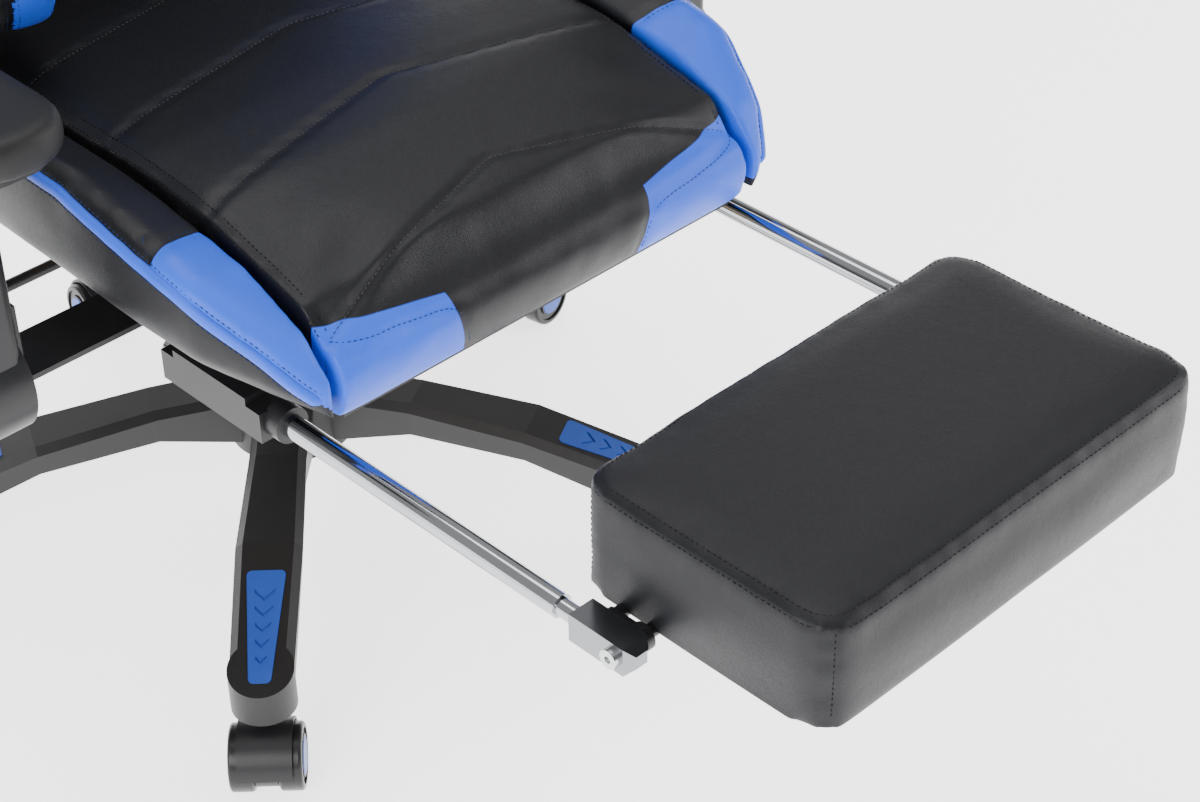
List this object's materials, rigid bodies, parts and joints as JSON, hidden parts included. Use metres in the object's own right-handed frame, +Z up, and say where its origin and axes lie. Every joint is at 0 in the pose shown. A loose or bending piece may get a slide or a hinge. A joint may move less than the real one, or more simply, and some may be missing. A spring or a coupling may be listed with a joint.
{
  "type": "gaming chair",
  "caption": "High-backed swivel gaming chair with bucket seat, flip-over sliding footrest, adjustable armrests and a five-star caster base.",
  "frame": {"origin": "on the floor under the middle of the gas column", "axes": "+Z up, -Y the way the sitter faces, +X to the sitter's left"},
  "size_m": [0.72, 1.0841, 1.2387],
  "materials": {
    "nylon_black": "fine moulded grain",
    "plastic_black": "satin moulded",
    "plastic_blue": "satin moulded blue",
    "wheel_nylon": "smooth moulded",
    "steel_zinc": "zinc plated",
    "cylinder_black": "black satin",
    "chrome": "polished",
    "steel_black": "powder coated",
    "plywood": "raw",
    "leather_black": "fine grain synthetic leather",
    "leather_blue": "fine grain synthetic leather",
    "pu_foam_black": "soft moulded skin",
    "webbing": "woven elastic"
  },
  "bodies": {
    "base": {"star_base": "nylon_black", "base_inserts": "plastic_blue", "caster_stems": "steel_zinc", "gas_cylinder": "cylinder_black", "column_cover_lower": "plastic_black"},
    "cover_middle": {"column_cover_middle": "plastic_black"},
    "lift": {"gas_piston": "chrome", "column_cover_upper": "plastic_black"},
    "swivel": {"mechanism_housing": "steel_black", "tilt_pin": "steel_zinc"},
    "knob": {"tension_knob": "plastic_black"},
    "lever": {"height_lever": "steel_black", "lever_paddle": "plastic_black"},
    "seat": {"seat_plate": "steel_black", "seat_frame": "steel_black", "seat_board": "plywood", "seat_cushion": "leather_black", "seat_bolsters": "leather_black", "rail_holders": "plastic_black", "recline_brackets": "steel_black", "recline_covers": "plastic_black", "arm_brackets": "steel_black", "arm_columns": "plastic_black"},
    "rails": {"footrest_rails": "chrome", "footrest_clevises": "chrome", "clevis_screws": "steel_zinc"},
    "footrest": {"footrest_crossbars": "steel_black", "footrest_board": "plywood", "footrest_cushion": "leather_black"},
    "back": {"back_frame": "steel_black", "back_cushion": "leather_black", "back_wings": "leather_blue", "back_shell": "leather_black", "strap_bezels": "plastic_black", "recline_arms": "steel_black", "pillow_straps": "webbing", "headrest_pillow": "leather_black"},
    "lumbar": {"lumbar_pillow": "leather_black"},
    "recline_grip": {"recline_lever": "plastic_black"},
    "arm_right": {"arm_post_right": "plastic_black", "arm_pad_right": "pu_foam_black"},
    "button_right": {"arm_button_right": "plastic_black"},
    "arm_left": {"arm_post_left": "plastic_black", "arm_pad_left": "pu_foam_black"},
    "button_left": {"arm_button_left": "plastic_black"},
    "caster_1": {"caster_1_hood": "plastic_black"},
    "wheel_1_left": {"caster_1_wheel_left": "wheel_nylon"},
    "wheel_1_right": {"caster_1_wheel_right": "wheel_nylon"},
    "caster_2": {"caster_2_hood": "plastic_black"},
    "wheel_2_left": {"caster_2_wheel_left": "wheel_nylon"},
    "wheel_2_right": {"caster_2_wheel_right": "wheel_nylon"},
    "caster_3": {"caster_3_hood": "plastic_black"},
    "wheel_3_left": {"caster_3_wheel_left": "wheel_nylon"},
    "wheel_3_right": {"caster_3_wheel_right": "wheel_nylon"},
    "caster_4": {"caster_4_hood": "plastic_black"},
    "wheel_4_left": {"caster_4_wheel_left": "wheel_nylon"},
    "wheel_4_right": {"caster_4_wheel_right": "wheel_nylon"},
    "caster_5": {"caster_5_hood": "plastic_black"},
    "wheel_5_left": {"caster_5_wheel_left": "wheel_nylon"},
    "wheel_5_right": {"caster_5_wheel_right": "wheel_nylon"}
  },
  "joints": [
    {"name": "lift_height", "type": "slide", "parent": "base", "child": "lift", "axis": [0, 0, 1], "range_m": [0, 0.08]},
    {"name": "cover_middle_slide", "type": "slide", "parent": "base", "child": "cover_middle", "axis": [0, 0, 1], "range_m": [0, 0.04]},
    {"name": "seat_swivel", "type": "hinge", "parent": "lift", "child": "swivel", "pos_m": [0, 0, 0.296], "axis": [0, 0, 1], "continuous": true},
    {"name": "seat_tilt", "type": "hinge", "parent": "swivel", "child": "seat", "pos_m": [0, -0.06, 0.312], "axis": [-1, 0, 0], "range_deg": [0, 8], "stiffness_Nm_per_rad": 150, "springref_deg": -11.46},
    {"name": "tension_knob_turn", "type": "hinge", "parent": "swivel", "child": "knob", "pos_m": [0, -0.11, 0.298], "axis": [0, -1, 0], "continuous": true},
    {"name": "height_lever_lift", "type": "hinge", "parent": "swivel", "child": "lever", "pos_m": [-0.051, 0.05, 0.286], "axis": [0, 1, 0], "range_deg": [0, 4], "stiffness_Nm_per_rad": 8, "springref_deg": -3.44},
    {"name": "footrest_slide", "type": "slide", "parent": "seat", "child": "rails", "axis": [0, 1, 0], "range_m": [0, 0.262]},
    {"name": "footrest_flip", "type": "hinge", "parent": "rails", "child": "footrest", "pos_m": [0, -0.577, 0.327], "axis": [1, 0, 0], "range_deg": [0, 180]},
    {"name": "back_recline", "type": "hinge", "parent": "seat", "child": "back", "pos_m": [0, 0.165, 0.4], "axis": [-1, 0, 0], "range_deg": [0, 75]},
    {"name": "recline_lever_lift", "type": "hinge", "parent": "seat", "child": "recline_grip", "pos_m": [-0.24, 0.165, 0.4], "axis": [-1, 0, 0], "range_deg": [0, 25], "stiffness_Nm_per_rad": 0.9, "springref_deg": -22.92},
    {"name": "lumbar_slide", "type": "slide", "parent": "back", "child": "lumbar", "axis": [0, 0.2079, 0.9781], "range_m": [0, 0.1]},
    {"name": "armrest_right_lift", "type": "slide", "parent": "seat", "child": "arm_right", "axis": [0, 0, 1], "range_m": [0, 0.06]},
    {"name": "arm_button_right_press", "type": "slide", "parent": "seat", "child": "button_right", "axis": [1, 0, 0], "range_m": [0, 0.003], "stiffness_N_per_m": 300, "springref_m": -0.003},
    {"name": "armrest_left_lift", "type": "slide", "parent": "seat", "child": "arm_left", "axis": [0, 0, 1], "range_m": [0, 0.06]},
    {"name": "arm_button_left_press", "type": "slide", "parent": "seat", "child": "button_left", "axis": [-1, 0, 0], "range_m": [0, 0.003], "stiffness_N_per_m": 300, "springref_m": -0.003},
    {"name": "caster_1_swivel", "type": "hinge", "parent": "base", "child": "caster_1", "pos_m": [-0.21199, -0.22892, 0.05], "axis": [0, 0, 1], "continuous": true},
    {"name": "wheel_1_left_roll", "type": "hinge", "parent": "caster_1", "child": "wheel_1_left", "pos_m": [-0.2215, -0.2392, 0.025], "axis": [0.7337, -0.6794, 0], "continuous": true},
    {"name": "wheel_1_right_roll", "type": "hinge", "parent": "caster_1", "child": "wheel_1_right", "pos_m": [-0.2215, -0.2392, 0.025], "axis": [0.7337, -0.6794, 0], "continuous": true},
    {"name": "caster_2_swivel", "type": "hinge", "parent": "base", "child": "caster_2", "pos_m": [0.15221, -0.27235, 0.05], "axis": [0, 0, 1], "continuous": true},
    {"name": "wheel_2_left_roll", "type": "hinge", "parent": "caster_2", "child": "wheel_2_left", "pos_m": [0.15904, -0.28457, 0.025], "axis": [0.8729, 0.4879, 0], "continuous": true},
    {"name": "wheel_2_right_roll", "type": "hinge", "parent": "caster_2", "child": "wheel_2_right", "pos_m": [0.15904, -0.28457, 0.025], "axis": [0.8729, 0.4879, 0], "continuous": true},
    {"name": "caster_3_swivel", "type": "hinge", "parent": "base", "child": "caster_3", "pos_m": [0.30606, 0.0606, 0.05], "axis": [0, 0, 1], "continuous": true},
    {"name": "wheel_3_left_roll", "type": "hinge", "parent": "caster_3", "child": "wheel_3_left", "pos_m": [0.31979, 0.06332, 0.025], "axis": [-0.1942, 0.981, 0], "continuous": true},
    {"name": "wheel_3_right_roll", "type": "hinge", "parent": "caster_3", "child": "wheel_3_right", "pos_m": [0.31979, 0.06332, 0.025], "axis": [-0.1942, 0.981, 0], "continuous": true},
    {"name": "caster_4_swivel", "type": "hinge", "parent": "base", "child": "caster_4", "pos_m": [0.03694, 0.3098, 0.05], "axis": [0, 0, 1], "continuous": true},
    {"name": "wheel_4_left_roll", "type": "hinge", "parent": "caster_4", "child": "wheel_4_left", "pos_m": [0.0386, 0.32371, 0.025], "axis": [-0.993, 0.1184, 0], "continuous": true},
    {"name": "wheel_4_right_roll", "type": "hinge", "parent": "caster_4", "child": "wheel_4_right", "pos_m": [0.0386, 0.32371, 0.025], "axis": [-0.993, 0.1184, 0], "continuous": true},
    {"name": "caster_5_swivel", "type": "hinge", "parent": "base", "child": "caster_5", "pos_m": [-0.28323, 0.13087, 0.05], "axis": [0, 0, 1], "continuous": true},
    {"name": "wheel_5_left_roll", "type": "hinge", "parent": "caster_5", "child": "wheel_5_left", "pos_m": [-0.29594, 0.13674, 0.025], "axis": [-0.4195, -0.9078, 0], "continuous": true},
    {"name": "wheel_5_right_roll", "type": "hinge", "parent": "caster_5", "child": "wheel_5_right", "pos_m": [-0.29594, 0.13674, 0.025], "axis": [-0.4195, -0.9078, 0], "continuous": true}
  ],
  "couplings": [
    {"joint": "cover_middle_slide", "follows": "lift_height", "ratio": 0.5},
    {"joint": "footrest_flip", "follows": "footrest_slide", "rad_per_m": 11.991}
  ]
}
